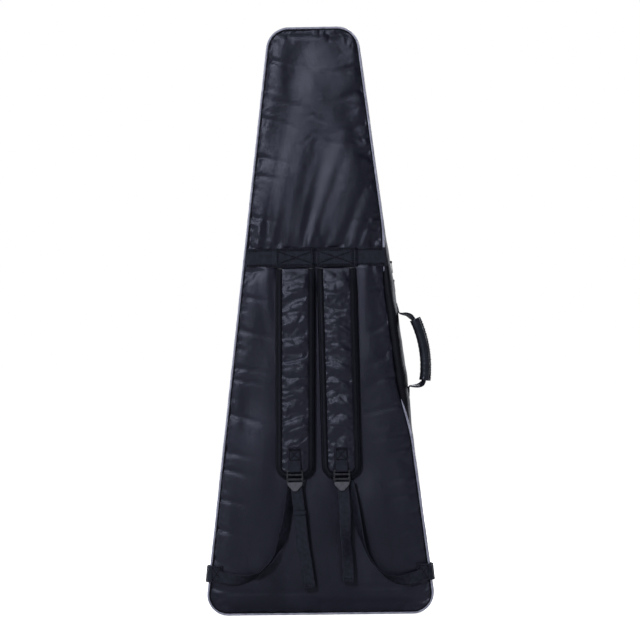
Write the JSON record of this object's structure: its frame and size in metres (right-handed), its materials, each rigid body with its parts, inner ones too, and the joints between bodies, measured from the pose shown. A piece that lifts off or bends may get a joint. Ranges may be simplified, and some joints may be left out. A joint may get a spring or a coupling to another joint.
{
  "type": "padded gig bag",
  "caption": "Padded gig bag for a pointed-body electric guitar: zipped tapering shell, front pocket, side handle, two padded shoulder straps with webbing and buckles.",
  "frame": {"origin": "middle of the foot, on the surface the bag stands on", "axes": "+Z from foot to head, -Y towards the strap side (wearer's back), +X towards the side with the handle and the zip sliders"},
  "size_m": [0.4616, 0.1271, 1.18],
  "materials": {
    "shell_cloth": "quilted nylon, satin",
    "foam": "closed-cell foam",
    "lining": "brushed lining",
    "piping": "satin piping",
    "webbing": "ribbed webbing",
    "pad_cloth": "puckered nylon",
    "pad_mesh": "spacer mesh",
    "zip_tape": "woven tape",
    "zip_coil": "moulded coil",
    "slider_metal": "black enamelled",
    "buckle_plastic": "moulded, slight gloss",
    "grip_wrap": "smooth wrap, stitched seam"
  },
  "bodies": {
    "shell": {"back_panel_cloth": "shell_cloth", "back_panel_foam": "foam", "back_panel_lining": "lining", "shell_left_wall": "shell_cloth", "shell_right_wall": "shell_cloth", "shell_head_wall": "shell_cloth", "shell_foot_wall": "shell_cloth", "shell_wall_foam": "foam", "shell_wall_lining": "lining", "back_piping": "piping", "shell_zip_tape": "zip_tape", "shell_zip_coil": "zip_coil", "hinge_strip": "shell_cloth", "yoke_band": "webbing", "neck_cradle": "lining", "neck_strap": "webbing", "foot_bumper": "lining", "left_anchor_tab": "webbing", "right_anchor_tab": "webbing", "left_lower_web": "webbing", "right_lower_web": "webbing", "handle_patches": "webbing", "handle_legs": "webbing"},
    "cover": {"front_panel_cloth": "shell_cloth", "front_panel_foam": "foam", "front_panel_lining": "lining", "cover_left_wall": "shell_cloth", "cover_right_wall": "shell_cloth", "cover_head_wall": "shell_cloth", "cover_foot_wall": "shell_cloth", "cover_wall_foam": "foam", "cover_wall_lining": "lining", "front_piping": "piping", "cover_zip_tape": "zip_tape", "cover_zip_coil": "zip_coil", "pocket_wall": "shell_cloth", "pocket_panel": "shell_cloth", "pocket_zip_tape": "zip_tape", "pocket_zip_coil": "zip_coil"},
    "lower_slider": {"lower_slider": "slider_metal"},
    "lower_pull": {"lower_pull": "slider_metal"},
    "upper_slider": {"upper_slider": "slider_metal"},
    "upper_pull": {"upper_pull": "slider_metal"},
    "pocket_slider": {"pocket_slider": "slider_metal"},
    "pocket_pull": {"pocket_pull": "slider_metal"},
    "handle": {"handle_grip": "grip_wrap"},
    "left_strap": {"left_pad_backing": "pad_mesh", "left_pad_foam": "foam", "left_pad_cloth": "pad_cloth", "left_pad_binding": "webbing", "left_strap_patch": "webbing", "left_tail": "webbing"},
    "left_buckle": {"left_buckle": "buckle_plastic"},
    "right_strap": {"right_pad_backing": "pad_mesh", "right_pad_foam": "foam", "right_pad_cloth": "pad_cloth", "right_pad_binding": "webbing", "right_strap_patch": "webbing", "right_tail": "webbing"},
    "right_buckle": {"right_buckle": "buckle_plastic"}
  },
  "joints": [
    {"name": "cover_hinge", "type": "hinge", "parent": "shell", "child": "cover", "pos_m": [-0.161, 0.012, 0.59], "axis": [0.1211, 0, 0.9926], "range_deg": [0, 160], "deforming": ["hinge_strip"]},
    {"name": "lower_slider_travel", "type": "slide", "parent": "shell", "child": "lower_slider", "axis": [-0.1211, 0, 0.9926], "range_m": [-0.56, 0]},
    {"name": "lower_pull_swing", "type": "hinge", "parent": "lower_slider", "child": "lower_pull", "pos_m": [0.15605, 0.012, 0.66856], "axis": [0, -1, 0], "range_deg": [0, 150]},
    {"name": "upper_slider_travel", "type": "slide", "parent": "shell", "child": "upper_slider", "axis": [-0.1211, 0, 0.9926], "range_m": [0, 0.4]},
    {"name": "upper_pull_swing", "type": "hinge", "parent": "upper_slider", "child": "upper_pull", "pos_m": [0.15141, 0.012, 0.70656], "axis": [0, -1, 0], "range_deg": [0, 150]},
    {"name": "pocket_slider_travel", "type": "slide", "parent": "cover", "child": "pocket_slider", "axis": [1, 0, 0], "range_m": [0, 0.174]},
    {"name": "pocket_pull_swing", "type": "hinge", "parent": "pocket_slider", "child": "pocket_pull", "pos_m": [-0.087, 0.0636, 0.53], "axis": [1, 0, 0], "range_deg": [0, 150]},
    {"name": "handle_swing", "type": "hinge", "parent": "shell", "child": "handle", "pos_m": [0.17031, -0.01, 0.53024], "axis": [-0.1211, 0, 0.9926], "range_deg": [-60, 60], "stiffness_Nm_per_rad": 0.05, "deforming": ["handle_legs"]},
    {"name": "left_strap_swing", "type": "hinge", "parent": "shell", "child": "left_strap", "pos_m": [-0.041, -0.0395, 0.697], "axis": [-1, 0, 0], "range_deg": [0, 20], "deforming": ["left_lower_web"]},
    {"name": "left_buckle_tilt", "type": "hinge", "parent": "left_strap", "child": "left_buckle", "pos_m": [-0.047, -0.0572, 0.2905], "axis": [-1, 0, 0], "range_deg": [0, 35], "deforming": ["left_tail"]},
    {"name": "right_strap_swing", "type": "hinge", "parent": "shell", "child": "right_strap", "pos_m": [0.041, -0.0395, 0.697], "axis": [-1, 0, 0], "range_deg": [0, 20], "deforming": ["right_lower_web"]},
    {"name": "right_buckle_tilt", "type": "hinge", "parent": "right_strap", "child": "right_buckle", "pos_m": [0.047, -0.0572, 0.2905], "axis": [-1, 0, 0], "range_deg": [0, 35], "deforming": ["right_tail"]}
  ]
}
